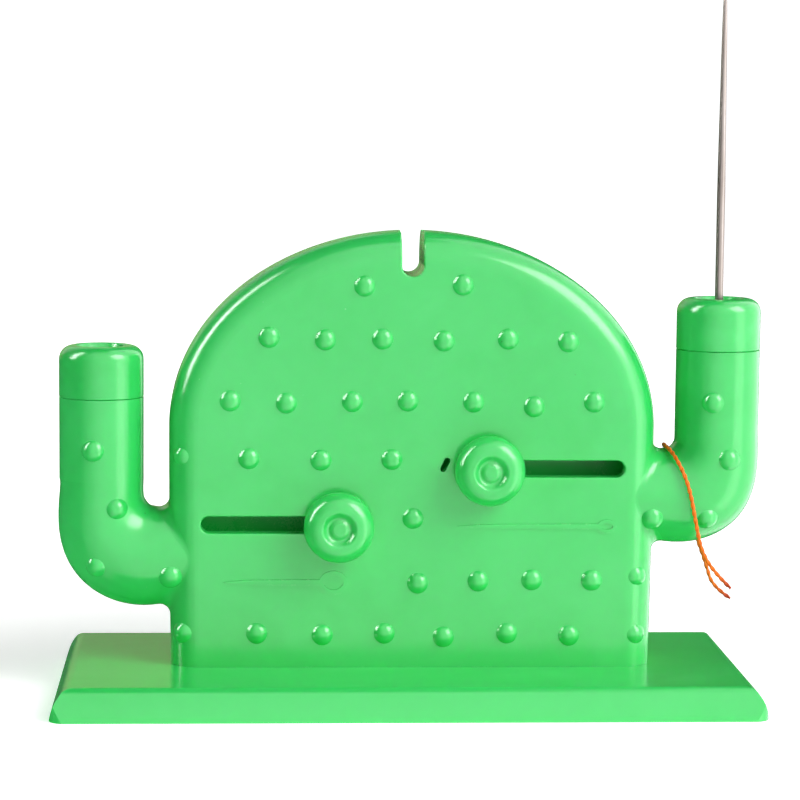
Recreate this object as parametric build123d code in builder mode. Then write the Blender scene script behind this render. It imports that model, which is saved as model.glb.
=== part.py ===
from build123d import *
import math
import os

os.makedirs("parts", exist_ok=True)

# ---------------------------------------------------------------- dimensions
# base plate
base_width = 86.0
base_depth = 39.6
base_t = 3.8
base_offset_x = -0.82  # the plate's middle, from the body's middle plane
base_corner_r = 1.9
base_rear_right_r = 0.8
# the plate's edge, as distance in from the bottom edge and height: a slightly
# bulging wall that leans in, then the rounded top edge
base_wall = [(0.0, 0.0), (0.46, 1.69), (1.34, 3.2), (2.57, base_t)]
base_wall_end = (math.sin(math.radians(37.7)), math.cos(math.radians(37.7)))

# arch-shaped body, two moulded half shells meeting at y = 0
body_half = 30.0
foot_half = 29.75
body_t = 10.8
spring_z = 33.4  # where the arch starts
body_rise = 24.05
body_edge_r = 3.6
side_wall = 1.8
face_wall = 2.0
floor_wall = 2.0

# thread notch at the top of the arch
notch_x = -0.3
notch_w = 2.7
notch_floor_z = 52.05

# arms
arm_r = 5.2
arm_x_left = -38.35
arm_x_right = 38.15
seam_left = 36.7
seam_right = 42.9
bore_r = 3.4
cap_h = 6.4
cap_edge_r = 1.7
spigot_r = 3.35
spigot_len = 5.0
funnel_r = 3.1
funnel_depth = 3.4
big_hole_r = 0.95
small_hole_r = 0.6

# crooks between body and arms: centre and radius of the U, elbow centre,
# elbow radius and underside height
crook_left = (31.55, 24.6, 1.55, 33.6, 20.8, 10.0, 10.8)
crook_right = (31.5, 31.95, 1.5, 34.25, 27.8, 9.0, 18.8)

# sliders
slot_h = 2.08
slot_z_left = 21.5
slot_z_right = 28.5
slot_inner = 6.8
slot_outer = 26.05
knob_x = 9.2
knob_r = 4.3
knob_back_y = -5.75
knob_front_y = -9.7
tang_len = 4.0
tang_h = 1.8
carriage_half = 4.0
blade_up = 3.45  # blade centre above the slot centre
blade_t = 0.2
blade_tip_x = 25.4
eye_z_left = slot_z_left + blade_up + 0.0
eye_z_right = slot_z_right + blade_up
spring_up_right = 2.0
spring_up_left = -0.5
spring_post_x = 13.0
spring_r = 1.1
spring_wire_r = 0.175
spring_y = 0.4

# sewing needle, eye down
needle_r = 0.52
needle_eye_half = 1.0
needle_eye_w = 0.44
needle_tip_z = 90.0

# thread
thread_d = 0.5

# screws
shell_screw_at = [(-21.0, 37.5), (21.0, 37.5), (-21.0, 10.5), (21.0, 10.5), (-0.3, 46.5)]
base_screw_front = [(-9.0, -2.75), (9.0, -2.75)]
base_screw_rear = [(-16.0, 2.75), (16.0, 2.75)]

half_t = body_t / 2
top_z = spring_z + body_rise


def arm_sections(crook, arm_x, sign):
    """Centre, in-plane direction, travel direction and half width of the elbow's sections."""
    px, pz, r_in, cx, cz, r_out, z_low = crook
    rows = []
    for deg in (0.0, 22.5, 45.0, 67.5, 90.0):
        c, s = math.cos(math.radians(deg)), math.sin(math.radians(deg))
        ax, az = px - cx, pz - cz
        dot = c * ax - s * az
        t = -dot + math.sqrt(max(dot * dot - ax * ax - az * az + r_out * r_out, 0.0))
        if px + t * c < cx:
            t = (pz - z_low) / s
        if deg == 0.0:
            r0, t = abs(arm_x) - arm_r - px, abs(arm_x) + arm_r - px
        else:
            r0 = r_in
        m = (r0 + t) / 2
        rows.append(((sign * (px + m * c), pz - m * s), (-sign * s, -c), (t - r0) / 2))
    return rows


def bump_on_flat(x, z):
    return (x, -half_t + bump_sink, z)


# small domes scattered over the face, radius 1.3 at the surface, 0.7 high
bump_ball_r = 1.56
bump_sink = 0.86
arm_join_r = 1.3  # where the arms run into the body
bumps_face = [
    (-6.2, 50.9), (5.8, 51.1), (-17.8, 44.6), (-10.95, 44.3), (-3.95, 44.45),
    (3.55, 44.25), (11.4, 44.5), (18.8, 44.2), (-22.5, 36.8), (-15.65, 36.55),
    (-7.6, 36.75), (-0.8, 36.85), (7.25, 36.75), (14.7, 36.2), (22.1, 36.8),
    (-20.2, 29.7), (-11.4, 29.55), (-2.7, 29.65), (-0.05, 22.35), (0.6, 14.3),
    (8.05, 14.55), (14.7, 14.7), (22.1, 14.65), (-19.15, 8.05), (-11.1, 7.85),
    (-3.45, 8.05), (3.85, 7.6), (11.7, 8.05), (19.4, 7.75),
]
# on rounded places: surface point, outward direction in the XY plane and how deep the ball sits
bumps_round = [
    (-28.66, -4.60, 29.9, -0.63, -0.78, 1.15), (-28.46, -4.75, 8.0, -0.57, -0.82, 1.05),
    (27.93, -5.06, 15.1, 0.42, -0.91, 1.15), (27.9, -5.07, 7.8, 0.42, -0.91, 1.15),
    (-39.25, -5.12, 30.55, -0.17, -0.985, 0.86), (-36.2, -4.74, 23.35, 0.38, -0.925, 0.9),
    (-39.0, -4.45, 16.35, -0.35, -0.94, 1.05), (-29.75, -4.97, 15.1, 0.0, -1.0, 0.8),
    (36.8, -5.02, 36.7, -0.26, -0.965, 0.9), (39.1, -5.11, 29.65, 0.18, -0.98, 0.86),
    (29.6, -4.82, 22.4, 0.0, -1.0, 0.86), (36.7, -4.5, 22.45, 0.3, -0.95, 0.95),
]

# ---------------------------------------------------------------- shared forms
# the outside of body and arms, both halves together
with BuildPart() as outer_form:
    with BuildSketch(Plane.XZ):
        with BuildLine():
            Line((-foot_half, base_t), (foot_half, base_t))
            TangentArc((body_half, spring_z), (foot_half, base_t), tangent=(0, -1))
            EllipticalCenterArc((0, spring_z), body_half, body_rise, start_angle=0, arc_size=180)
            TangentArc((-body_half, spring_z), (-foot_half, base_t), tangent=(0, -1))
        make_face()
    extrude(amount=half_t, both=True)
    rims = [
        e
        for e in outer_form.edges()
        if abs(abs(e.center().Y) - half_t) < 1e-3 and e.center().Z > base_t + 0.5
    ]
    fillet(rims, body_edge_r)
    # left arm: straight tube, then elbow and stub
    with BuildSketch(Plane.XY.offset(crook_left[1] + 2.0)):
        with Locations((arm_x_left, 0)):
            Circle(arm_r)
    extrude(amount=seam_left - crook_left[1] - 2.0)
    rows = arm_sections(crook_left, arm_x_left, -1)
    with BuildSketch(Plane(origin=(arm_x_left, 0, crook_left[1] + 2.0), x_dir=(0, 1, 0), z_dir=(0, 0, -1))):
        Circle(arm_r)
    for (mx, mz), (nx, nz), hw in rows:
        with BuildSketch(Plane(origin=(mx, 0, mz), x_dir=(0, 1, 0), z_dir=(nx, 0, nz))):
            Ellipse(arm_r, hw)
    (mx, mz), _, hw = rows[-1]
    with BuildSketch(Plane(origin=(-26.5, 0, mz), x_dir=(0, 1, 0), z_dir=(1, 0, 0))):
        Ellipse(arm_r, hw)
    loft()
    # right arm
    with BuildSketch(Plane.XY.offset(crook_right[1] + 2.0)):
        with Locations((arm_x_right, 0)):
            Circle(arm_r)
    extrude(amount=seam_right - crook_right[1] - 2.0)
    rows = arm_sections(crook_right, arm_x_right, 1)
    with BuildSketch(Plane(origin=(arm_x_right, 0, crook_right[1] + 2.0), x_dir=(0, 1, 0), z_dir=(0, 0, -1))):
        Circle(arm_r)
    for (mx, mz), (nx, nz), hw in rows:
        with BuildSketch(Plane(origin=(mx, 0, mz), x_dir=(0, 1, 0), z_dir=(nx, 0, nz))):
            Ellipse(arm_r, hw)
    (mx, mz), _, hw = rows[-1]
    with BuildSketch(Plane(origin=(26.5, 0, mz), x_dir=(0, 1, 0), z_dir=(-1, 0, 0))):
        Ellipse(arm_r, hw)
    loft()
    # the joins of the arms and the body are rounded all the way round
    for side in (-1, 1):
        joins = [
            e
            for e in outer_form.edges().filter_by(GeomType.BSPLINE)
            if 27.4 < side * e.center().X < 30.05 and base_t + 2 < e.center().Z < 31 and e.bounding_box().size.X < 3
        ]
        fillet(joins, arm_join_r)
    # domes
    for x, z in bumps_face:
        with Locations((x, -half_t + bump_sink, z)):
            Sphere(bump_ball_r)
    for x, y, z, nx, ny, sink in bumps_round:
        with Locations((x - nx * sink, y - ny * sink, z)):
            Sphere(bump_ball_r)

# everything that is hollow in both halves
with BuildPart() as hollow_form:
    with BuildSketch(Plane.XZ):
        with BuildLine():
            h = body_half - side_wall
            Line((-h, base_t + floor_wall), (h, base_t + floor_wall))
            Line((h, base_t + floor_wall), (h, spring_z))
            EllipticalCenterArc((0, spring_z), h, body_rise - side_wall, start_angle=0, arc_size=180)
            Line((-h, spring_z), (-h, base_t + floor_wall))
        make_face()
    extrude(amount=half_t - face_wall, both=True)
    # solid land under the notch, which also takes the top screw
    with BuildSketch(Plane.XZ):
        with Locations((notch_x, 43.0)):
            Rectangle(7.0, 30.0, align=(Align.CENTER, Align.MIN))
    extrude(amount=half_t, both=True, mode=Mode.SUBTRACT)
    # arm bores, open at the top
    with BuildSketch(Plane.XY.offset(eye_z_left - 5.5)):
        with Locations((arm_x_left, 0)):
            Circle(bore_r)
    extrude(amount=seam_left + 1 - (eye_z_left - 5.5))
    with BuildSketch(Plane.XY.offset(eye_z_right - 5.5)):
        with Locations((arm_x_right, 0)):
            Circle(bore_r)
    extrude(amount=seam_right + 1 - (eye_z_right - 5.5))
    # windows that the blades pass through
    with BuildSketch(Plane.YZ.offset(body_half - side_wall - 0.2)):
        with Locations((0, eye_z_right)):
            Rectangle(0.9, 1.6)
    extrude(amount=8.0)
    with BuildSketch(Plane.YZ.offset(-(body_half - side_wall - 0.2))):
        with Locations((0, eye_z_left)):
            Rectangle(0.9, 1.6)
    extrude(amount=-8.0)

# the U-shaped notch, cut right through
with BuildPart() as notch_form:
    with BuildSketch(Plane.XZ):
        with Locations((notch_x, notch_floor_z + notch_w / 2)):
            Circle(notch_w / 2)
        with Locations((notch_x, notch_floor_z + notch_w / 2)):
            Rectangle(notch_w, 12.0, align=(Align.CENTER, Align.MIN))
    extrude(amount=half_t + 1, both=True)

# ---------------------------------------------------------------- base
with BuildPart() as base:
    with BuildSketch(Plane.XY):
        with Locations((base_offset_x, 0)):
            Rectangle(base_width, base_depth)
    extrude(amount=base_t)
    corners = base.edges().filter_by(Axis.Z).sort_by(lambda e: e.center().X + e.center().Y)
    fillet(corners[:3], base_corner_r)
    rear_right = base.edges().filter_by(Axis.Z).sort_by(lambda e: e.center().X + e.center().Y)[-1]
    fillet(rear_right, base_rear_right_r)
    # the edge's shape along the front and back, then along the two ends
    (_, _), (m_in, m_z), (w_in, w_z), (t_in, t_z) = base_wall
    for plane, middle, half in ((Plane.YZ, 0.0, base_depth / 2), (Plane.XZ, base_offset_x, base_width / 2)):
        with BuildSketch(plane):
            with BuildLine():
                lo, hi = middle - half, middle + half
                Line((lo, 0), (hi, 0))
                ThreePointArc((hi, 0), (hi - m_in, m_z), (hi - w_in, w_z))
                TangentArc((hi - w_in, w_z), (hi - t_in, t_z), tangent=(-base_wall_end[0], base_wall_end[1]))
                Line((hi - t_in, t_z), (lo + t_in, t_z))
                TangentArc((lo + w_in, w_z), (lo + t_in, t_z), tangent=base_wall_end)
                ThreePointArc((lo, 0), (lo + m_in, m_z), (lo + w_in, w_z))
            make_face()
        extrude(amount=60, both=True, mode=Mode.INTERSECT)
    with BuildSketch(Plane.XY):
        with Locations(*base_screw_front, *base_screw_rear):
            Circle(2.1)
    extrude(amount=1.6, mode=Mode.SUBTRACT)
    with BuildSketch(Plane.XY):
        with Locations(*base_screw_front, *base_screw_rear):
            Circle(1.08)
    extrude(amount=base_t, mode=Mode.SUBTRACT)
base.part.label = "base"
export_step(base.part, "parts/base.step")

# ---------------------------------------------------------------- front shell
with BuildPart() as front_shell:
    add(outer_form.part)
    add(hollow_form.part, mode=Mode.SUBTRACT)
    add(notch_form.part, mode=Mode.SUBTRACT)
    split(bisect_by=Plane.XZ, keep=Keep.TOP)
    # screw bosses
    with BuildSketch(Plane.XZ):
        with Locations(*shell_screw_at[:4]):
            Circle(2.6)
    extrude(amount=half_t - 1.0)
    with BuildSketch(Plane.XZ):
        with Locations(*shell_screw_at):
            Circle(1.04)
    extrude(amount=3.2, mode=Mode.SUBTRACT)
    # blocks over the base screws
    with BuildSketch(Plane.XZ.offset(0.2)):
        with Locations(*[(x, base_t) for x, _ in base_screw_front]):
            Rectangle(5.0, 7.2, align=(Align.CENTER, Align.MIN))
    extrude(amount=half_t - 1.2)
    with BuildSketch(Plane.XY.offset(base_t)):
        with Locations(*base_screw_front):
            Circle(1.04)
    extrude(amount=5.8, mode=Mode.SUBTRACT)
    # rails above and below each carriage
    with BuildSketch(Plane.XZ.offset(0.6)):
        with Locations((6.0, slot_z_right - 3.5), (6.0, slot_z_right + 5.1)):
            Rectangle(22.6, 1.0, align=(Align.MIN, Align.MIN))
        with Locations((-6.0, slot_z_left - 3.5), (-6.0, slot_z_left + 5.1)):
            Rectangle(22.6, 1.0, align=(Align.MAX, Align.MIN))
    extrude(amount=half_t - face_wall - 0.6 + 0.3)
    # slots for the knob tangs
    with BuildSketch(Plane.XZ.offset(half_t - face_wall - 0.5)):
        with Locations(((slot_inner + slot_outer) / 2, slot_z_right), (-(slot_inner + slot_outer) / 2, slot_z_left)):
            SlotOverall(slot_outer - slot_inner, slot_h)
    extrude(amount=face_wall + 1.5, mode=Mode.SUBTRACT)
    # small slanted hole beside the right knob
    with BuildSketch(Plane.XZ.offset(half_t - face_wall - 0.5)):
        with Locations((3.85, slot_z_right + 0.5)):
            SlotOverall(1.9, 0.75, rotation=64)
    extrude(amount=face_wall + 1.0, mode=Mode.SUBTRACT)
    # embossed marks: a needle with a large eye, and one with a small eye
    with BuildSketch(Plane.XZ.offset(half_t - 0.1)):
        with BuildLine():
            Polyline((-23.3, 14.42), (-20.5, 14.12), (-11.3, 14.05), (-11.3, 14.75), (-20.5, 14.7), close=True)
        make_face()
        with Locations((-9.75, 14.4)):
            Ellipse(1.75, 1.45)
            Ellipse(1.2, 0.9, mode=Mode.SUBTRACT)
    extrude(amount=0.28)
    with BuildSketch(Plane.XZ.offset(half_t - 0.1)):
        with BuildLine():
            Polyline((5.4, 21.42), (9.0, 21.15), (22.9, 21.1), (22.9, 21.7), (9.0, 21.65), close=True)
        make_face()
        with Locations((23.9, 21.4)):
            Ellipse(1.2, 0.85)
            Ellipse(0.75, 0.4, mode=Mode.SUBTRACT)
    extrude(amount=0.28)
    # eased edge round each slot and the notch
    mouth = [
        e
        for e in front_shell.edges()
        if abs(e.center().Y + half_t) < 1e-3
        and (
            abs(e.center().Z - slot_z_right) < slot_h * 0.75 and 5.0 < e.center().X < 27.0
            or abs(e.center().Z - slot_z_left) < slot_h * 0.75 and -27.0 < e.center().X < -5.0
            or abs(e.center().X - notch_x) < notch_w * 0.55 and e.center().Z > notch_floor_z - 0.1
        )
        and e.length > 0.5
    ]
    print("slot mouth edges", len(mouth))
    fillet(mouth, 0.22)
front_shell.part.label = "front_shell"
export_step(front_shell.part, "parts/front_shell.step")
print("front_shell", round(front_shell.part.volume, 1), len(front_shell.part.solids()))

# ---------------------------------------------------------------- rear shell
with BuildPart() as rear_shell:
    add(outer_form.part)
    add(hollow_form.part, mode=Mode.SUBTRACT)
    add(notch_form.part, mode=Mode.SUBTRACT)
    split(bisect_by=Plane.XZ, keep=Keep.BOTTOM)
    with BuildSketch(Plane.XZ):
        with Locations(*shell_screw_at[:4]):
            Circle(3.0)
    extrude(amount=-(half_t - 1.0))
    with BuildSketch(Plane.XZ.offset(-(half_t - 1.9))):
        with Locations(*shell_screw_at):
            Circle(2.1)
    extrude(amount=-3.0, mode=Mode.SUBTRACT)
    with BuildSketch(Plane.XZ):
        with Locations(*shell_screw_at):
            Circle(1.08)
    extrude(amount=-half_t, mode=Mode.SUBTRACT)
    with BuildSketch(Plane.XZ.offset(-0.2)):
        with Locations(*[(x, base_t) for x, _ in base_screw_rear]):
            Rectangle(5.0, 7.2, align=(Align.CENTER, Align.MIN))
    extrude(amount=-(half_t - 1.2))
    with BuildSketch(Plane.XY.offset(base_t)):
        with Locations(*base_screw_rear):
            Circle(1.04)
    extrude(amount=5.8, mode=Mode.SUBTRACT)
    # posts that hold the fixed ends of the springs
    with BuildSketch(Plane.XZ.offset(-(half_t - 1.0))):
        with Locations((-spring_post_x, slot_z_right + spring_up_right), (spring_post_x, slot_z_left + spring_up_left)):
            Circle(0.7)
    extrude(amount=half_t - 1.0 + 1.0)
rear_shell.part.label = "rear_shell"
export_step(rear_shell.part, "parts/rear_shell.step")
print("rear_shell", round(rear_shell.part.volume, 1), len(rear_shell.part.solids()))

# ---------------------------------------------------------------- arm caps
with BuildPart() as left_arm_cap:
    with BuildSketch(Plane.XZ):
        with BuildLine():
            a, s = arm_x_left, seam_left
            Polyline(
                (a + big_hole_r, s - spigot_len), (a + spigot_r, s - spigot_len), (a + spigot_r, s + 0.02),
                (a + arm_r, s + 0.02), (a + arm_r, s + cap_h), (a + funnel_r, s + cap_h),
                (a + big_hole_r, s + cap_h - funnel_depth), close=True,
            )
        make_face()
    revolve(axis=Axis((arm_x_left, 0, 0), (0, 0, 1)))
    rim = left_arm_cap.edges().filter_by(GeomType.CIRCLE)
    fillet([e for e in rim if abs(e.radius - arm_r) < 0.01 and abs(e.center().Z - seam_left - cap_h) < 0.01], cap_edge_r)
    rim = left_arm_cap.edges().filter_by(GeomType.CIRCLE)
    fillet([e for e in rim if abs(e.radius - funnel_r) < 0.01 and abs(e.center().Z - seam_left - cap_h) < 0.01], 0.22)
    rim = left_arm_cap.edges().filter_by(GeomType.CIRCLE)
    chamfer([e for e in rim if abs(e.radius - arm_r) < 0.01 and abs(e.center().Z - seam_left) < 0.05], 0.14)
left_arm_cap.part.label = "left_arm_cap"
export_step(left_arm_cap.part, "parts/left_arm_cap.step")

with BuildPart() as right_arm_cap:
    with BuildSketch(Plane.XZ):
        with BuildLine():
            a, s = arm_x_right, seam_right
            Polyline(
                (a + small_hole_r, s - spigot_len), (a + spigot_r, s - spigot_len), (a + spigot_r, s + 0.02),
                (a + arm_r, s + 0.02), (a + arm_r, s + cap_h), (a + funnel_r, s + cap_h),
                (a + small_hole_r, s + cap_h - funnel_depth), close=True,
            )
        make_face()
    revolve(axis=Axis((arm_x_right, 0, 0), (0, 0, 1)))
    rim = right_arm_cap.edges().filter_by(GeomType.CIRCLE)
    fillet([e for e in rim if abs(e.radius - arm_r) < 0.01 and abs(e.center().Z - seam_right - cap_h) < 0.01], cap_edge_r)
    rim = right_arm_cap.edges().filter_by(GeomType.CIRCLE)
    fillet([e for e in rim if abs(e.radius - funnel_r) < 0.01 and abs(e.center().Z - seam_right - cap_h) < 0.01], 0.22)
    rim = right_arm_cap.edges().filter_by(GeomType.CIRCLE)
    chamfer([e for e in rim if abs(e.radius - arm_r) < 0.01 and abs(e.center().Z - seam_right) < 0.05], 0.14)
right_arm_cap.part.label = "right_arm_cap"
export_step(right_arm_cap.part, "parts/right_arm_cap.step")

# ---------------------------------------------------------------- needle seats
with BuildPart() as left_needle_seat:
    with BuildSketch(Plane.XY.offset(eye_z_left - 5.45)):
        with Locations((arm_x_left, 0)):
            Circle(bore_r - 0.05)
    extrude(amount=7.2)
    with BuildSketch(Plane.XY.offset(eye_z_left - 1.55)):
        with Locations((arm_x_left, 0)):
            Circle(big_hole_r)
    extrude(amount=6.0, mode=Mode.SUBTRACT)
    top = left_needle_seat.faces().sort_by(Axis.Z)[-1].edges().filter_by(GeomType.CIRCLE).sort_by(SortBy.RADIUS)
    chamfer(top[0], 0.8)
    with BuildSketch(Plane.YZ.offset(arm_x_left + bore_r + 1)):
        with Locations((0, eye_z_left)):
            Rectangle(0.9, 1.6)
    extrude(amount=-(bore_r + 1 + 2.3), mode=Mode.SUBTRACT)
left_needle_seat.part.label = "left_needle_seat"
export_step(left_needle_seat.part, "parts/left_needle_seat.step")

with BuildPart() as right_needle_seat:
    with BuildSketch(Plane.XY.offset(eye_z_right - 5.45)):
        with Locations((arm_x_right, 0)):
            Circle(bore_r - 0.05)
    extrude(amount=7.2)
    with BuildSketch(Plane.XY.offset(eye_z_right - 1.55)):
        with Locations((arm_x_right, 0)):
            Circle(small_hole_r)
    extrude(amount=6.0, mode=Mode.SUBTRACT)
    top = right_needle_seat.faces().sort_by(Axis.Z)[-1].edges().filter_by(GeomType.CIRCLE).sort_by(SortBy.RADIUS)
    chamfer(top[0], 0.8)
    with BuildSketch(Plane.YZ.offset(arm_x_right - bore_r - 1)):
        with Locations((0, eye_z_right)):
            Rectangle(0.9, 1.6)
    extrude(amount=bore_r + 1 + 2.3, mode=Mode.SUBTRACT)
right_needle_seat.part.label = "right_needle_seat"
export_step(right_needle_seat.part, "parts/right_needle_seat.step")

# ---------------------------------------------------------------- knobs
# a thick disc with a rounded rim, a dished middle and a low flat boss
knob_dish = [(0.7, -9.36), (1.0, -9.24), (1.35, -9.06), (1.7, -9.28), (1.98, -9.58), (2.25, knob_front_y)]
knob_rim_r = knob_r - 2.25
with BuildPart() as left_knob:
    with BuildSketch(Plane.XY.offset(slot_z_left)):
        with BuildLine():
            x0 = -knob_x
            dish = [(x0 + r, y) for r, y in knob_dish]
            rim = (x0 + knob_r, knob_front_y + knob_rim_r)
            Line((x0, knob_dish[0][1]), dish[0])
            Spline(*dish, tangents=((1, 0.3), (1, 0)))
            TangentArc(dish[-1], rim, tangent=(1, 0))
            Line(rim, (x0 + knob_r, -7.2))
            TangentArc((x0 + knob_r, -7.2), (x0 + 3.5, knob_back_y), tangent=(0, 1))
            Line((x0 + 3.5, knob_back_y), (x0, knob_back_y))
            Line((x0, knob_back_y), (x0, knob_dish[0][1]))
        make_face()
    revolve(axis=Axis((-knob_x, 0, slot_z_left), (0, 1, 0)))
    # tang through the slot into the carriage
    with BuildSketch(Plane.XZ.offset(-knob_back_y + 0.2)):
        with Locations((-knob_x, slot_z_left)):
            SlotOverall(tang_len, tang_h)
    extrude(amount=-(-knob_back_y + 0.2 - 1.2))
left_knob.part.label = "left_knob"
export_step(left_knob.part, "parts/left_knob.step")

with BuildPart() as right_knob:
    with BuildSketch(Plane.XY.offset(slot_z_right)):
        with BuildLine():
            x0 = knob_x
            dish = [(x0 + r, y) for r, y in knob_dish]
            rim = (x0 + knob_r, knob_front_y + knob_rim_r)
            Line((x0, knob_dish[0][1]), dish[0])
            Spline(*dish, tangents=((1, 0.3), (1, 0)))
            TangentArc(dish[-1], rim, tangent=(1, 0))
            Line(rim, (x0 + knob_r, -7.2))
            TangentArc((x0 + knob_r, -7.2), (x0 + 3.5, knob_back_y), tangent=(0, 1))
            Line((x0 + 3.5, knob_back_y), (x0, knob_back_y))
            Line((x0, knob_back_y), (x0, knob_dish[0][1]))
        make_face()
    revolve(axis=Axis((knob_x, 0, slot_z_right), (0, 1, 0)))
    with BuildSketch(Plane.XZ.offset(-knob_back_y + 0.2)):
        with Locations((knob_x, slot_z_right)):
            SlotOverall(tang_len, tang_h)
    extrude(amount=-(-knob_back_y + 0.2 - 1.2))
right_knob.part.label = "right_knob"
export_step(right_knob.part, "parts/right_knob.step")
print("knobs", round(left_knob.part.volume, 1), round(right_knob.part.volume, 1), len(left_knob.part.solids()), len(right_knob.part.solids()))

# ---------------------------------------------------------------- carriages
carriage_front_y = -(half_t - face_wall - 0.3)
with BuildPart() as left_slide_carriage:
    with BuildSketch(Plane.XZ.offset(-2.6)):
        with Locations((-knob_x, slot_z_left - 2.2)):
            Rectangle(2 * carriage_half, 7.0, align=(Align.CENTER, Align.MIN))
    extrude(amount=2.6 - carriage_front_y)
    # step that the blade lies on
    with BuildSketch(Plane.XZ.offset(-3.0)):
        with Locations((-knob_x, slot_z_left + 2.0)):
            Rectangle(2 * carriage_half + 1, 4.0, align=(Align.CENTER, Align.MIN))
    extrude(amount=3.0 + blade_t / 2, mode=Mode.SUBTRACT)
    # socket for the knob's tang
    with BuildSketch(Plane.XZ.offset(-carriage_front_y + 0.5)):
        with Locations((-knob_x, slot_z_left)):
            SlotOverall(tang_len + 0.04, tang_h + 0.04)
    extrude(amount=-(-carriage_front_y + 0.5 - 1.15), mode=Mode.SUBTRACT)
    # threaded hole for the blade screw
    with BuildSketch(Plane.XZ):
        with Locations((-knob_x - 1.5, eye_z_left)):
            Circle(0.54)
    extrude(amount=2.4, mode=Mode.SUBTRACT)
    # ear and peg for the spring
    with BuildSketch(Plane.XZ.offset(1.4)):
        with Locations((-knob_x + carriage_half - 0.2, slot_z_left + spring_up_left)):
            Rectangle(2.4, 2.0, align=(Align.MIN, Align.CENTER))
    extrude(amount=1.5)
    with BuildSketch(Plane.XZ.offset(1.5)):
        with Locations((-knob_x + carriage_half + 1.2, slot_z_left + spring_up_left)):
            Circle(0.7)
    extrude(amount=-3.1)
left_slide_carriage.part.label = "left_slide_carriage"
export_step(left_slide_carriage.part, "parts/left_slide_carriage.step")

with BuildPart() as right_slide_carriage:
    with BuildSketch(Plane.XZ.offset(-2.6)):
        with Locations((knob_x, slot_z_right - 2.2)):
            Rectangle(2 * carriage_half, 7.0, align=(Align.CENTER, Align.MIN))
    extrude(amount=2.6 - carriage_front_y)
    with BuildSketch(Plane.XZ.offset(-3.0)):
        with Locations((knob_x, slot_z_right + 2.0)):
            Rectangle(2 * carriage_half + 1, 4.0, align=(Align.CENTER, Align.MIN))
    extrude(amount=3.0 + blade_t / 2, mode=Mode.SUBTRACT)
    with BuildSketch(Plane.XZ.offset(-carriage_front_y + 0.5)):
        with Locations((knob_x, slot_z_right)):
            SlotOverall(tang_len + 0.04, tang_h + 0.04)
    extrude(amount=-(-carriage_front_y + 0.5 - 1.15), mode=Mode.SUBTRACT)
    with BuildSketch(Plane.XZ):
        with Locations((knob_x + 1.5, eye_z_right)):
            Circle(0.54)
    extrude(amount=2.4, mode=Mode.SUBTRACT)
    with BuildSketch(Plane.XZ.offset(1.4)):
        with Locations((knob_x - carriage_half + 0.2, slot_z_right + spring_up_right)):
            Rectangle(2.4, 2.0, align=(Align.MAX, Align.CENTER))
    extrude(amount=1.5)
    with BuildSketch(Plane.XZ.offset(1.5)):
        with Locations((knob_x - carriage_half - 1.2, slot_z_right + spring_up_right)):
            Circle(0.7)
    extrude(amount=-3.1)
right_slide_carriage.part.label = "right_slide_carriage"
export_step(right_slide_carriage.part, "parts/right_slide_carriage.step")
print("carriages", len(left_slide_carriage.part.solids()), len(right_slide_carriage.part.solids()))

# ---------------------------------------------------------------- pusher blades
with BuildPart() as left_pusher_blade:
    with BuildSketch(Plane.XZ.offset(-blade_t / 2)):
        z = eye_z_left
        with BuildLine():
            Polyline(
                (-6.2, z - 1.1), (-11.9, z - 1.1), (-13.2, z - 0.42), (-(blade_tip_x - 0.3), z - 0.42),
                (-blade_tip_x, z - 0.2), (-(blade_tip_x - 0.45), z), (-blade_tip_x, z + 0.2), (-(blade_tip_x - 0.3), z + 0.42),
                (-13.2, z + 0.42), (-11.9, z + 1.1), (-6.2, z + 1.1), close=True,
            )
        make_face()
        with Locations((-knob_x - 1.5, z)):
            Circle(0.55, mode=Mode.SUBTRACT)
    extrude(amount=blade_t)
left_pusher_blade.part.label = "left_pusher_blade"
export_step(left_pusher_blade.part, "parts/left_pusher_blade.step")

with BuildPart() as right_pusher_blade:
    with BuildSketch(Plane.XZ.offset(-blade_t / 2)):
        z = eye_z_right
        with BuildLine():
            Polyline(
                (6.2, z - 1.1), (11.9, z - 1.1), (13.2, z - 0.42), (blade_tip_x - 0.3, z - 0.42),
                (blade_tip_x, z - 0.2), (blade_tip_x - 0.45, z), (blade_tip_x, z + 0.2), (blade_tip_x - 0.3, z + 0.42),
                (13.2, z + 0.42), (11.9, z + 1.1), (6.2, z + 1.1), close=True,
            )
        make_face()
        with Locations((knob_x + 1.5, z)):
            Circle(0.55, mode=Mode.SUBTRACT)
    extrude(amount=blade_t)
right_pusher_blade.part.label = "right_pusher_blade"
export_step(right_pusher_blade.part, "parts/right_pusher_blade.step")

# ---------------------------------------------------------------- blade screws
with BuildPart() as left_blade_screw:
    with BuildSketch(Plane.XZ.offset(-blade_t / 2)):
        with Locations((-knob_x - 1.5, eye_z_left)):
            Circle(0.95)
    extrude(amount=-0.7)
    fillet(left_blade_screw.faces().sort_by(Axis.Y)[-1].edges(), 0.3)
    with BuildSketch(Plane.XZ.offset(-blade_t / 2 - 0.3)):
        with Locations((-knob_x - 1.5, eye_z_left)):
            Circle(0.5)
    extrude(amount=2.5)
    with BuildSketch(Plane.XZ.offset(-blade_t / 2 - 0.4)):
        with Locations((-knob_x - 1.5, eye_z_left)):
            Rectangle(1.1, 0.22)
            Rectangle(0.22, 1.1)
    extrude(amount=-1.0, mode=Mode.SUBTRACT)
left_blade_screw.part.label = "left_blade_screw"
export_step(left_blade_screw.part, "parts/left_blade_screw.step")

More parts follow.
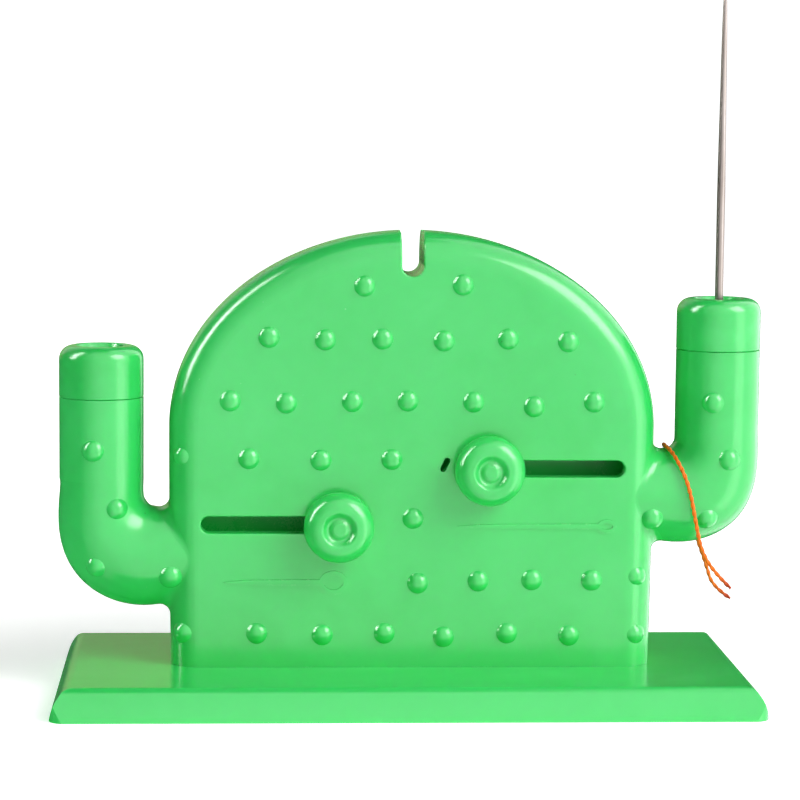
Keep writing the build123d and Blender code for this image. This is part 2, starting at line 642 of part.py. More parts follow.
with BuildPart() as right_blade_screw:
    with BuildSketch(Plane.XZ.offset(-blade_t / 2)):
        with Locations((knob_x + 1.5, eye_z_right)):
            Circle(0.95)
    extrude(amount=-0.7)
    fillet(right_blade_screw.faces().sort_by(Axis.Y)[-1].edges(), 0.3)
    with BuildSketch(Plane.XZ.offset(-blade_t / 2 - 0.3)):
        with Locations((knob_x + 1.5, eye_z_right)):
            Circle(0.5)
    extrude(amount=2.5)
    with BuildSketch(Plane.XZ.offset(-blade_t / 2 - 0.4)):
        with Locations((knob_x + 1.5, eye_z_right)):
            Rectangle(1.1, 0.22)
            Rectangle(0.22, 1.1)
    extrude(amount=-1.0, mode=Mode.SUBTRACT)
right_blade_screw.part.label = "right_blade_screw"
export_step(right_blade_screw.part, "parts/right_blade_screw.step")
print("blade screws", len(left_blade_screw.part.solids()), len(right_blade_screw.part.solids()))

# ---------------------------------------------------------------- shell screws
with BuildPart() as shell_screws:
    with BuildSketch(Plane.XZ.offset(-(half_t - 1.9))):
        with Locations(*shell_screw_at):
            Circle(1.9)
    extrude(amount=-1.4)
    fillet(shell_screws.faces().sort_by(Axis.Y)[-5:].edges(), 0.5)
    with BuildSketch(Plane.XZ.offset(-(half_t - 1.7))):
        with Locations(*shell_screw_at):
            Circle(1.0)
    extrude(amount=half_t - 1.7 + 2.9)
    with BuildSketch(Plane.XZ.offset(-(half_t - 1.9) - 0.7)):
        with Locations(*shell_screw_at):
            Rectangle(2.0, 0.45)
            Rectangle(0.45, 2.0)
    extrude(amount=-2.0, mode=Mode.SUBTRACT)
shell_screws.part.label = "shell_screws"
export_step(shell_screws.part, "parts/shell_screws.step")

# ---------------------------------------------------------------- base screws
with BuildPart() as base_screws:
    with BuildSketch(Plane.XY.offset(0.2)):
        with Locations(*base_screw_front, *base_screw_rear):
            Circle(1.9)
    extrude(amount=1.4)
    fillet(base_screws.faces().sort_by(Axis.Z)[:4].edges(), 0.4)
    with BuildSketch(Plane.XY.offset(1.5)):
        with Locations(*base_screw_front, *base_screw_rear):
            Circle(1.0)
    extrude(amount=7.6)
    with BuildSketch(Plane.XY.offset(-0.5)):
        with Locations(*base_screw_front, *base_screw_rear):
            Rectangle(2.0, 0.45)
            Rectangle(0.45, 2.0)
    extrude(amount=1.4, mode=Mode.SUBTRACT)
base_screws.part.label = "base_screws"
export_step(base_screws.part, "parts/base_screws.step")
print("screws", len(shell_screws.part.solids()), len(base_screws.part.solids()))

# ---------------------------------------------------------------- sewing needle
with BuildPart() as sewing_needle:
    with BuildSketch(Plane.XZ):
        with BuildLine():
            a, zb = arm_x_right, eye_z_right - 1.45
            Line((a, zb), (a + 0.2, zb))
            ThreePointArc((a + 0.2, zb), (a + 0.43, zb + 0.09), (a + needle_r, zb + 0.3))
            Line((a + needle_r, zb + 0.3), (a + needle_r, 62.0))
            Spline((a + needle_r, 62.0), (a + 0.41, 74.0), (a + 0.33, 82.0), (a + 0.235, 86.0), (a + 0.03, needle_tip_z), tangents=((0, 1), (-0.07, 1)))
            Line((a + 0.03, needle_tip_z), (a, needle_tip_z))
            Line((a, needle_tip_z), (a, zb))
        make_face()
    revolve(axis=Axis((arm_x_right, 0, 0), (0, 0, 1)))
    # eye
    with BuildSketch(Plane.YZ.offset(arm_x_right - 2)):
        with Locations((0, eye_z_right)):
            SlotOverall(2 * needle_eye_half, needle_eye_w, rotation=90)
    extrude(amount=4, mode=Mode.SUBTRACT)
sewing_needle.part.label = "sewing_needle"
export_step(sewing_needle.part, "parts/sewing_needle.step")
print("needle", round(sewing_needle.part.volume, 2), len(sewing_needle.part.solids()))

# ---------------------------------------------------------------- return springs
# each runs from its post on the rear shell to the peg on the carriage
coil_from = 1.25  # coil starts this far from each post
post_ring_r = 0.92
left_peg_x = -knob_x + carriage_half + 1.2
coil_len = spring_post_x - left_peg_x - 2 * coil_from
coil_turns = 12
with BuildPart() as left_return_spring:
    zs = slot_z_left + spring_up_left
    coil_a = Vector(left_peg_x + coil_from, spring_y, zs + spring_r)
    coil_b = Vector(left_peg_x + coil_from + coil_len, spring_y, zs + spring_r)
    # eyes at both ends, with the straight bit that joins each to the coil
    for px, end in ((left_peg_x, coil_a), (spring_post_x, coil_b)):
        with BuildSketch(Plane.XY.offset(zs)):
            with Locations((px + post_ring_r, spring_y)):
                Circle(spring_wire_r)
        revolve(axis=Axis((px, spring_y, zs), (0, 1, 0)))
        towards = 1 if px < end.X else -1
        inner = Vector(px + towards * post_ring_r, spring_y, zs)
        with BuildSketch(Plane(origin=inner, z_dir=(end - inner).normalized())):
            Circle(spring_wire_r)
        extrude(amount=(end - inner).length + 0.12)
        with Locations(end):
            Sphere(spring_wire_r * 1.5)
    with BuildLine():
        coil = Helix(pitch=coil_len / coil_turns, height=coil_len, radius=spring_r, center=(left_peg_x + coil_from, spring_y, zs), direction=(1, 0, 0))
    with BuildSketch(Plane(origin=coil @ 0, z_dir=coil % 0)):
        Circle(spring_wire_r)
    sweep(path=coil, is_frenet=True)
print("left spring", len(left_return_spring.part.solids()), round(left_return_spring.part.volume, 2), coil @ 0, coil @ 1)
left_return_spring.part.label = "left_return_spring"
export_step(left_return_spring.part, "parts/left_return_spring.step")

with BuildPart() as right_return_spring:
    zs = slot_z_right + spring_up_right
    coil_a = Vector(-spring_post_x + coil_from, spring_y, zs + spring_r)
    coil_b = Vector(-spring_post_x + coil_from + coil_len, spring_y, zs + spring_r)
    for px, end in ((-spring_post_x, coil_a), (-left_peg_x, coil_b)):
        with BuildSketch(Plane.XY.offset(zs)):
            with Locations((px + post_ring_r, spring_y)):
                Circle(spring_wire_r)
        revolve(axis=Axis((px, spring_y, zs), (0, 1, 0)))
        towards = 1 if px < end.X else -1
        inner = Vector(px + towards * post_ring_r, spring_y, zs)
        with BuildSketch(Plane(origin=inner, z_dir=(end - inner).normalized())):
            Circle(spring_wire_r)
        extrude(amount=(end - inner).length + 0.12)
        with Locations(end):
            Sphere(spring_wire_r * 1.5)
    with BuildLine():
        coil = Helix(pitch=coil_len / coil_turns, height=coil_len, radius=spring_r, center=(-spring_post_x + coil_from, spring_y, zs), direction=(1, 0, 0))
    with BuildSketch(Plane(origin=coil @ 0, z_dir=coil % 0)):
        Circle(spring_wire_r)
    sweep(path=coil, is_frenet=True)
print("right spring", len(right_return_spring.part.solids()), round(right_return_spring.part.volume, 2))
right_return_spring.part.label = "right_return_spring"
export_step(right_return_spring.part, "parts/right_return_spring.step")

# ---------------------------------------------------------------- thread
thread_route = [
    (39.6, -4.6, 13.5), (37.4, -5.1, 15.6), (35.6, -5.6, 18.5), (34.8, -5.75, 22.5), (33.85, -5.8, 26.9),
    (32.4, -3.75, 30.15), (31.45, 0.0, 31.15), (32.3, 3.75, 30.15), (33.7, 5.8, 26.9), (35.1, 5.85, 22.5),
    (36.9, 5.6, 18.3), (38.1, 5.2, 14.9), (38.9, 4.8, 12.1), (41.2, 4.6, 10.6),
]
radii = []
for p, q, r in zip(thread_route, thread_route[1:], thread_route[2:]):
    u, v = Vector(*q) - Vector(*p), Vector(*r) - Vector(*q)
    turn = math.radians(u.get_angle(v))
    radii.append(0.45 * min(u.length, v.length) / math.tan(turn / 2))
with BuildPart() as thread:
    with BuildLine() as route:
        path = FilletPolyline(*thread_route, radius=radii)
    with BuildSketch(Plane(origin=path @ 0, z_dir=path % 0)):
        Circle(thread_d / 2)
    sweep(path=path)
thread.part.label = "thread"
export_step(thread.part, "parts/thread.step")
length = path.length
print("thread radii", [round(r, 2) for r in radii])
print("thread length", round(length, 2), "volume", round(thread.part.volume, 3), "section x length", round(length * math.pi * thread_d**2 / 4, 3), len(thread.part.solids()))
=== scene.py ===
import math

import bpy
from mathutils import Matrix, Vector


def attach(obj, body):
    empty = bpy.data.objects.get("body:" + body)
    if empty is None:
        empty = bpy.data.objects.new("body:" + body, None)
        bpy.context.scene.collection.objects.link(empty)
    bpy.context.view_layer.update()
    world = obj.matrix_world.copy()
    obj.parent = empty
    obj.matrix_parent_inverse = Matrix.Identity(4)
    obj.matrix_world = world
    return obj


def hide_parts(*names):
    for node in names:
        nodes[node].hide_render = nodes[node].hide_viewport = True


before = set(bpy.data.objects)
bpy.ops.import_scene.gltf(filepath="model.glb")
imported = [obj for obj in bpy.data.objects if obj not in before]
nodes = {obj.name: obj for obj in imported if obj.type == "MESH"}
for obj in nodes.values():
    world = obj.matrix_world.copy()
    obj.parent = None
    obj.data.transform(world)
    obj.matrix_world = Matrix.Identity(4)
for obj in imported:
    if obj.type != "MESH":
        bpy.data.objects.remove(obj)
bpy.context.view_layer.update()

scene = bpy.context.scene


# ---------------------------------------------------------------- camera
# A long lens a little to the left of the middle, looking slightly down.
yaw, pitch, roll = math.radians(3.338), math.radians(6.218), math.radians(0.554)
forward = Vector((math.sin(yaw) * math.cos(pitch), math.cos(yaw) * math.cos(pitch), -math.sin(pitch)))
level_right = Vector((math.cos(yaw), -math.sin(yaw), 0.0))
level_up = level_right.cross(forward)
cam_right = level_right * math.cos(roll) + level_up * math.sin(roll)
cam_up = level_up * math.cos(roll) - level_right * math.sin(roll)

camera_data = bpy.data.cameras.new("camera")
camera_data.sensor_fit = "HORIZONTAL"
camera_data.sensor_width = 36.0
camera_data.lens = 2875.54 / 800.0 * 36.0
camera_data.clip_start, camera_data.clip_end = 0.01, 20.0
camera = bpy.data.objects.new("camera", camera_data)
turn = Matrix((cam_right, cam_up, -forward)).transposed().to_4x4()
camera.matrix_world = Matrix.Translation((-0.02212, -0.35406, 0.07503)) @ turn
scene.collection.objects.link(camera)
scene.camera = camera


# ---------------------------------------------------------------- thread
# The loose end of orange thread hung over the crook of the right arm.
# The points are the route of the thread's solid, in metres.
thread_route = [
    (39.6, -4.6, 13.5), (37.4, -5.1, 15.6), (35.6, -5.6, 18.5), (34.8, -5.75, 22.5), (33.85, -5.8, 26.9),
    (32.4, -3.75, 30.15), (31.45, 0.0, 31.15), (32.3, 3.75, 30.15), (33.7, 5.8, 26.9), (35.1, 5.85, 22.5),
    (36.9, 5.6, 18.3), (38.1, 5.2, 14.9), (38.9, 4.8, 12.1), (41.2, 4.6, 10.6),
]
ply_radius = 0.000170
ply_offset = 0.000080
ply_lay = 0.0019


def nurbs_line(route, name):
    """The points along one smooth NURBS line through the route's control points, read from the spline."""
    data = bpy.data.curves.new(name, "CURVE")
    data.dimensions = "3D"
    data.resolution_u = 40
    spline = data.splines.new("NURBS")
    spline.points.add(len(route) - 1)
    for point, (x, y, z) in zip(spline.points, route):
        point.co = (x / 1000, y / 1000, z / 1000, 1.0)
    spline.order_u = 3
    spline.use_endpoint_u = True
    obj = bpy.data.objects.new(name, data)
    scene.collection.objects.link(obj)
    bpy.context.view_layer.update()
    mesh = bpy.data.meshes.new_from_object(obj)
    line = [v.co.copy() for v in mesh.vertices]
    bpy.data.objects.remove(obj)
    bpy.data.meshes.remove(mesh)
    return line


def even_steps(line, step):
    """The same line with its points about one step apart, and the distance along it of each."""
    total = sum((b - a).length for a, b in zip(line, line[1:]))
    count = max(2, round(total / step))
    wanted = [total * i / count for i in range(count + 1)]
    out, i, gone = [], 0, 0.0
    for w in wanted:
        while i < len(line) - 2 and gone + (line[i + 1] - line[i]).length < w - 1e-12:
            gone += (line[i + 1] - line[i]).length
            i += 1
        a, b = line[i], line[i + 1]
        span = max((b - a).length, 1e-12)
        out.append(a.lerp(b, min(1.0, (w - gone) / span)))
    return out, wanted


def carried_frames(line):
    """A side direction at each point, carried along the line without twisting."""
    tangents = []
    for i in range(len(line)):
        a, b = line[max(0, i - 1)], line[min(len(line) - 1, i + 1)]
        tangents.append((b - a).normalized())
    side = tangents[0].orthogonal().normalized()
    sides = []
    for t in tangents:
        side = (side - t * side.dot(t)).normalized()
        sides.append(side.copy())
    return tangents, sides


centre_line, along = even_steps(nurbs_line(thread_route, "thread_line"), 0.00006)
thread_length = along[-1]
tangents, sides = carried_frames(centre_line)

verts, faces, uvs = [], [], []
ring = 20
for ply in range(2):
    first = len(verts)
    for k, (p, t, s, d) in enumerate(zip(centre_line, tangents, sides, along)):
        b = t.cross(s)
        to_end = min(d, thread_length - d)
        # the two plies part and thin out a little over the last millimetre of each cut end
        loose = max(0.0, 1.0 - to_end / 0.0011)
        turn_now = math.tau * d / ply_lay + math.pi * ply
        offset = ply_offset * (1.0 + 0.55 * loose * loose)
        thick = ply_radius * (1.0 - 0.42 * loose ** 3)
        c = p + (s * math.cos(turn_now) + b * math.sin(turn_now)) * offset
        for j in range(ring):
            a = math.tau * j / ring
            # the filaments of a ply show as fine ridges that wind back against the plies
            ridge = 1.0 + 0.055 * math.cos(5 * a + math.tau * d / 0.00105)
            r = thick * ridge
            verts.append(c + (s * math.cos(a) + b * math.sin(a)) * r)
            uvs.append((a / math.tau, d))
    rings = len(centre_line)
    for k in range(rings - 1):
        for j in range(ring):
            j2 = (j + 1) % ring
            faces.append((first + k * ring + j, first + k * ring + j2,
                          first + (k + 1) * ring + j2, first + (k + 1) * ring + j))
    faces.append(tuple(first + j for j in reversed(range(ring))))
    faces.append(tuple(first + (rings - 1) * ring + j for j in range(ring)))

thread_mesh = bpy.data.meshes.new("twisted_thread")
thread_mesh.from_pydata([tuple(v) for v in verts], [], faces)
thread_mesh.validate()
thread_mesh.update()
for poly in thread_mesh.polygons:
    poly.use_smooth = len(poly.vertices) == 4
end_paint = thread_mesh.attributes.new("distance_to_end", "FLOAT", "POINT")
for v, (u, d) in enumerate(uvs):
    end_paint.data[v].value = min(d, thread_length - d)
ply_uv = thread_mesh.uv_layers.new(name="along_ply")
for poly in thread_mesh.polygons:
    wraps = max(uvs[v][0] for v in poly.vertices) - min(uvs[v][0] for v in poly.vertices) > 0.5
    for loop in poly.loop_indices:
        u, d = uvs[thread_mesh.loops[loop].vertex_index]
        if wraps and u < 0.5:
            u += 1.0
        ply_uv.data[loop].uv = (u, d * 1000)
thread = bpy.data.objects.new("twisted_thread", thread_mesh)
scene.collection.objects.link(thread)
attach(thread, "threader_body")
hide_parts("thread")


# ---------------------------------------------------------------- materials
def new_material(name):
    m = bpy.data.materials.new(name)
    m.use_nodes = True
    return m, m.node_tree.nodes, m.node_tree.links, m.node_tree.nodes["Principled BSDF"]


def place(n, links, scale=(1, 1, 1), rotation=(0, 0, 0), kind="Object"):
    coords = n.new("ShaderNodeTexCoord")
    mapping = n.new("ShaderNodeMapping")
    mapping.inputs["Scale"].default_value = scale
    mapping.inputs["Rotation"].default_value = rotation
    links.new(coords.outputs[kind], mapping.inputs["Vector"])
    return mapping.outputs["Vector"]


def noise(n, links, vector, scale, detail=2.0, roughness=0.5, distortion=0.0):
    t = n.new("ShaderNodeTexNoise")
    t.inputs["Scale"].default_value = scale
    t.inputs["Detail"].default_value = detail
    t.inputs["Roughness"].default_value = roughness
    t.inputs["Distortion"].default_value = distortion
    links.new(vector, t.inputs["Vector"])
    return t.outputs["Fac"]


def ramp(n, links, fac, stops, smooth=False):
    r = n.new("ShaderNodeValToRGB")
    if smooth:
        r.color_ramp.interpolation = "EASE"
    while len(r.color_ramp.elements) < len(stops):
        r.color_ramp.elements.new(0.5)
    for e, (at, colour) in zip(r.color_ramp.elements, stops):
        e.position = at
        e.color = colour if len(colour) == 4 else (*colour, 1.0)
    links.new(fac, r.inputs["Fac"])
    return r.outputs["Color"]


def grey(v):
    return (v, v, v, 1.0)


def maths(n, links, kind, a, b=None):
    m = n.new("ShaderNodeMath")
    m.operation = kind
    for socket, value in zip(m.inputs, (a, b)):
        if value is None:
            continue
        if isinstance(value, (int, float)):
            socket.default_value = value
        else:
            links.new(value, socket)
    return m.outputs["Value"]


def mix(n, links, fac, a, b):
    m = n.new("ShaderNodeMix")
    m.data_type = "RGBA"
    for socket, value in ((m.inputs["Factor"], fac), (m.inputs["A"], a), (m.inputs["B"], b)):
        if isinstance(value, (int, float)):
            socket.default_value = value
        elif isinstance(value, tuple):
            socket.default_value = value if len(value) == 4 else (*value, 1.0)
        else:
            links.new(value, socket)
    return m.outputs["Result"]


def span(n, links, fac, low, high):
    m = n.new("ShaderNodeMapRange")
    m.inputs["To Min"].default_value = low
    m.inputs["To Max"].default_value = high
    links.new(fac, m.inputs["Value"])
    return m.outputs["Result"]


def bump(n, links, height, distance, strength=1.0, under=None):
    b = n.new("ShaderNodeBump")
    b.inputs["Strength"].default_value = strength
    b.inputs["Distance"].default_value = distance
    links.new(height, b.inputs["Height"])
    if under is not None:
        links.new(under, b.inputs["Normal"])
    return b.outputs["Normal"]


def scratches(n, links, angle, across, length, low, high):
    """Thin straight marks about 1/across apart, running at an angle in the face's plane."""
    v = place(n, links, scale=(across, across * 0.5, 1.0 / length), rotation=(0.0, angle, 0.0))
    t = noise(n, links, v, 1.0, detail=1.0, roughness=0.4)
    return ramp(n, links, t, [(low, grey(0)), (high, grey(1))])


def in_box(n, links, vector, low, high):
    """1 inside a box given by its corners, 0 outside."""
    parts = n.new("ShaderNodeSeparateXYZ")
    links.new(vector, parts.inputs["Vector"])
    inside = None
    for socket, lo, hi in zip(("X", "Y", "Z"), low, high):
        both = maths(n, links, "MULTIPLY", maths(n, links, "GREATER_THAN", parts.outputs[socket], lo),
                     maths(n, links, "LESS_THAN", parts.outputs[socket], hi))
        inside = both if inside is None else maths(n, links, "MULTIPLY", inside, both)
    return inside


def moulded_green(name, deep, body, pale, rough, wear=1.0, flow=55.0, seed_turn=0.0, soft=0.30, glow=0.0):
    """Glossy moulded plastic: cloudy flow of the colour, waxy softness, fine rubbed marks, specks and paler edges; with
    glow set, a painted green glow inside the closed hollow.
    """
    m, n, links, bsdf = new_material(name)
    still = place(n, links, rotation=(0.3 + seed_turn, 0.2, 0.1 + seed_turn))

    # cloudy colour, as the melt flowed
    cloud = noise(n, links, still, flow, detail=3.0, roughness=0.55, distortion=0.4)
    fine_cloud = noise(n, links, still, flow * 9.0, detail=2.0, roughness=0.6)
    colour = ramp(n, links, cloud, [(0.30, deep), (0.52, body), (0.74, pale)], smooth=True)
    colour = mix(n, links, span(n, links, fine_cloud, -0.10, 0.22), colour, pale)

    # rubbed marks, gathered in patches
    patch = ramp(n, links, noise(n, links, still, 85.0, detail=2.0), [(0.63, grey(0)), (0.78, grey(1))])
    marks_a = scratches(n, links, 0.42 + seed_turn, 5200.0, 0.0022, 0.70, 0.78)
    marks_b = scratches(n, links, -0.75 + seed_turn, 4300.0, 0.0017, 0.71, 0.79)
    marks_c = scratches(n, links, 1.30 + seed_turn, 6100.0, 0.0013, 0.72, 0.80)
    marks = maths(n, links, "MAXIMUM", maths(n, links, "MAXIMUM", marks_a, marks_b), marks_c)
    rubbed = maths(n, links, "MULTIPLY", marks, patch)
    colour = mix(n, links, maths(n, links, "MULTIPLY", rubbed, 0.06 * wear), colour, (0.22, 0.66, 0.33))

    # a few pale and dark specks in the plastic
    cells = n.new("ShaderNodeTexVoronoi")
    cells.inputs["Scale"].default_value = 420.0
    links.new(still, cells.inputs["Vector"])
    near = ramp(n, links, cells.outputs["Distance"], [(0.030, grey(1)), (0.050, grey(0))])
    pick = n.new("ShaderNodeSeparateColor")
    links.new(cells.outputs["Color"], pick.inputs["Color"])
    pale_speck = maths(n, links, "MULTIPLY", near, maths(n, links, "GREATER_THAN", pick.outputs["Red"], 0.93))
    dark_speck = maths(n, links, "MULTIPLY", near, maths(n, links, "GREATER_THAN", pick.outputs["Green"], 0.965))
    colour = mix(n, links, maths(n, links, "MULTIPLY", pale_speck, 0.32 * wear), colour, (0.26, 0.70, 0.38))
    colour = mix(n, links, maths(n, links, "MULTIPLY", dark_speck, 0.55 * wear), colour, (0.03, 0.22, 0.05))

    # edges handled most are a little paler and duller
    edge_bevel = n.new("ShaderNodeBevel")
    edge_bevel.samples = 2
    edge_bevel.inputs["Radius"].default_value = 0.00030
    geometry = n.new("ShaderNodeNewGeometry")
    dot = n.new("ShaderNodeVectorMath")
    dot.operation = "DOT_PRODUCT"
    links.new(edge_bevel.outputs["Normal"], dot.inputs[0])
    links.new(geometry.outputs["Normal"], dot.inputs[1])
    edge = ramp(n, links, dot.outputs["Value"], [(0.86, grey(1)), (0.985, grey(0))])
    edge_break = maths(n, links, "MULTIPLY", edge, span(n, links, noise(n, links, still, 900.0, detail=3.0), 0.15, 0.95))
    colour = mix(n, links, maths(n, links, "MULTIPLY", edge_break, 0.12 * wear), colour, (0.14, 0.66, 0.26))
    links.new(colour, bsdf.inputs["Base Color"])

    # gloss, dulled unevenly by handling
    dull = noise(n, links, still, 140.0, detail=4.0, roughness=0.6)
    micro = noise(n, links, still, 5200.0, detail=1.0)
    gloss = span(n, links, dull, rough - 0.05, rough + 0.07)
    gloss = maths(n, links, "ADD", gloss, span(n, links, micro, -0.02, 0.03))
    gloss = maths(n, links, "ADD", gloss, maths(n, links, "MULTIPLY", rubbed, 0.07 * wear))
    gloss = maths(n, links, "ADD", gloss, maths(n, links, "MULTIPLY", edge_break, 0.10 * wear))
    links.new(gloss, bsdf.inputs["Roughness"])

    # the slow waviness of a moulded skin, then the finest grain and the marks
    wave = noise(n, links, still, 240.0, detail=1.0, roughness=0.4)
    grain = noise(n, links, still, 3400.0, detail=2.0, roughness=0.55)
    normal = bump(n, links, wave, 0.000014, 1.0)
    normal = bump(n, links, grain, 0.0000016, 1.0, under=normal)
    lifted = maths(n, links, "SUBTRACT", pale_speck, rubbed)
    normal = bump(n, links, lifted, 0.0000009, wear, under=normal)
    links.new(normal, bsdf.inputs["Normal"])

    if glow:
        # painted glow: a green emission in the closed hollow stands in for daylight coming through the thin walls
        coords = n.new("ShaderNodeTexCoord")
        hollow = in_box(n, links, coords.outputs["Object"], (-0.0285, -0.0041, 0.0042), (0.0285, 0.0041, 0.0505))
        # the painted glow is strongest at the left part of each slot and fades towards the right
        parts = n.new("ShaderNodeSeparateXYZ")
        links.new(coords.outputs["Object"], parts.inputs["Vector"])
        across = maths(n, links, "MODULO", maths(n, links, "ADD", parts.outputs["X"], 0.0265), 0.0390)
        painted_light_falloff = ramp(n, links, maths(n, links, "MULTIPLY", across, 50.0), [(0.05, grey(1.0)), (0.60, grey(0.22))])
        # painted light: the glow colour, masked to the hollow and faded along each slot
        painted_hollow_light = maths(n, links, "MULTIPLY", hollow, maths(n, links, "MULTIPLY", painted_light_falloff, span(n, links, cloud, 0.7, 1.1)))
        links.new(mix(n, links, painted_hollow_light, (0.0, 0.0, 0.0), (0.0, 0.070, 0.008)), bsdf.inputs["Emission Color"])
        bsdf.inputs["Emission Strength"].default_value = glow

    bsdf.inputs["IOR"].default_value = 1.49
    bsdf.inputs["Subsurface Weight"].default_value = soft
    bsdf.inputs["Subsurface Radius"].default_value = (0.12, 1.0, 0.30)
    bsdf.inputs["Subsurface Scale"].default_value = 0.0018
    return m


deep_green = (0.026, 0.545, 0.094)
body_green = (0.033, 0.575, 0.110)
pale_green = (0.047, 0.610, 0.130)

# both shells carry the painted green glow inside their hollow (glow=1.0)
shell_green = moulded_green("shell_green", deep_green, body_green, pale_green, rough=0.19, seed_turn=0.0, glow=1.0)
back_green = moulded_green("back_shell_green", deep_green, body_green, pale_green, rough=0.26, seed_turn=1.1, glow=1.0)
base_green = moulded_green("base_green", deep_green, body_green, pale_green, rough=0.20, flow=38.0, seed_turn=2.3)
knob_green = moulded_green("knob_green", deep_green, body_green, pale_green, rough=0.20, wear=1.4, flow=130.0,
                           seed_turn=0.7)
cap_green = moulded_green("cap_green", deep_green, body_green, pale_green, rough=0.19, flow=120.0, seed_turn=1.7)


def inner_plastic(name, colour, turn_by):
    """Plain matt moulding that nobody sees when it is closed: faint mould grain, ejector dullness and dust."""
    m, n, links, bsdf = new_material(name)
    v = place(n, links, rotation=(turn_by, 0.4, turn_by))
    cloud = noise(n, links, v, 160.0, detail=3.0)
    low = tuple(c * 0.90 for c in colour)
    high = tuple(min(1.0, c * 1.05) for c in colour)
    shade = ramp(n, links, cloud, [(0.32, low), (0.68, high)], smooth=True)
    dust = ramp(n, links, noise(n, links, v, 1400.0, detail=3.0, roughness=0.7), [(0.60, grey(0)), (0.70, grey(1))])
    shade = mix(n, links, maths(n, links, "MULTIPLY", dust, 0.25), shade, tuple(c * 0.72 for c in colour))
    links.new(shade, bsdf.inputs["Base Color"])
    links.new(span(n, links, cloud, 0.42, 0.58), bsdf.inputs["Roughness"])
    grain = noise(n, links, v, 5200.0, detail=2.0)
    links.new(bump(n, links, grain, 0.000006), bsdf.inputs["Normal"])
    bsdf.inputs["IOR"].default_value = 1.49
    return m


def steel(name, dark, bright, rough, stretch, turn_by=0.0, streak=2600.0, spots=0.0):
    """Drawn or rolled steel: streaks along its length, a slight tarnish and fine pits."""
    m, n, links, bsdf = new_material(name)
    v = place(n, links, scale=stretch, rotation=(turn_by, 0.0, turn_by))
    still = place(n, links, rotation=(0.2, turn_by, 0.5))
    streaks = noise(n, links, v, streak, detail=3.0, roughness=0.65)
    tarnish = noise(n, links, still, 260.0, detail=3.0, roughness=0.6)
    shade = ramp(n, links, streaks, [(0.30, dark), (0.70, bright)])
    shade = mix(n, links, span(n, links, tarnish, -0.10, 0.45), shade, (dark[0] * 0.92, dark[1] * 0.84, dark[2] * 0.74))
    if spots:
        pits = ramp(n, links, noise(n, links, still, 2600.0, detail=2.0), [(0.64, grey(0)), (0.72, grey(1))])
        shade = mix(n, links, maths(n, links, "MULTIPLY", pits, spots), shade, (0.16, 0.13, 0.10))
    links.new(shade, bsdf.inputs["Base Color"])
    bsdf.inputs["Metallic"].default_value = 1.0
    gloss = maths(n, links, "ADD", span(n, links, streaks, rough - 0.05, rough + 0.09),
                  span(n, links, tarnish, -0.03, 0.06))
    links.new(gloss, bsdf.inputs["Roughness"])
    links.new(bump(n, links, streaks, 0.0000012), bsdf.inputs["Normal"])
    return m


needle_steel = steel("needle_steel", (0.17, 0.148, 0.130), (0.29, 0.262, 0.240), 0.27, (1.0, 1.0, 0.02), streak=5200.0)
blade_steel = steel("blade_steel", (0.48, 0.48, 0.49), (0.72, 0.72, 0.73), 0.26, (0.02, 1.0, 1.0), streak=4200.0)
screw_steel = steel("screw_steel", (0.42, 0.42, 0.43), (0.66, 0.66, 0.66), 0.30, (1.0, 0.25, 1.0), turn_by=0.5,
                    streak=1800.0, spots=0.35)
spring_steel = steel("spring_steel", (0.36, 0.36, 0.37), (0.62, 0.62, 0.63), 0.24, (0.15, 1.0, 1.0), streak=5200.0)


def thread_fibre():
    """Spun orange yarn: fine fibres along each ply, dyed unevenly, darker and redder at the cut ends."""
    m, n, links, bsdf = new_material("orange_thread")
    uv = n.new("ShaderNodeUVMap")
    uv.uv_map = "along_ply"
    mapping = n.new("ShaderNodeMapping")
    mapping.inputs["Scale"].default_value = (9.0, 1.6, 1.0)
    mapping.inputs["Rotation"].default_value = (0.0, 0.0, 0.5)
    links.new(uv.outputs["UV"], mapping.inputs["Vector"])
    fibres = noise(n, links, mapping.outputs["Vector"], 2.2, detail=3.0, roughness=0.7)
    still = place(n, links)
    dye = noise(n, links, still, 900.0, detail=2.0)
    shade = ramp(n, links, fibres, [(0.30, (0.80, 0.095, 0.002)), (0.52, (0.92, 0.160, 0.003)),
                                    (0.72, (0.97, 0.270, 0.008))])
    shade = mix(n, links, span(n, links, dye, -0.05, 0.30), shade, (0.95, 0.185, 0.004))
    end = n.new("ShaderNodeAttribute")
    end.attribute_name = "distance_to_end"
    near_end = ramp(n, links, maths(n, links, "MULTIPLY", end.outputs["Fac"], 250.0),
                    [(0.0, grey(1)), (0.75, grey(0))], smooth=True)
    shade = mix(n, links, maths(n, links, "MULTIPLY", near_end, 0.85), shade, (0.34, 0.012, 0.003))
    links.new(shade, bsdf.inputs["Base Color"])
    links.new(span(n, links, fibres, 0.42, 0.62), bsdf.inputs["Roughness"])
    links.new(bump(n, links, fibres, 0.000012), bsdf.inputs["Normal"])
    bsdf.inputs["Specular IOR Level"].default_value = 0.18
    bsdf.inputs["Sheen Weight"].default_value = 0.05
    bsdf.inputs["Sheen Roughness"].default_value = 0.4
    bsdf.inputs["Sheen Tint"].default_value = (1.0, 0.55, 0.2, 1.0)
    return m


def dress(material, *names):
    for name in names:
        obj = nodes[name]
        if not obj.material_slots:
            obj.data.materials.append(material)
        for s in obj.material_slots:
            s.material = material


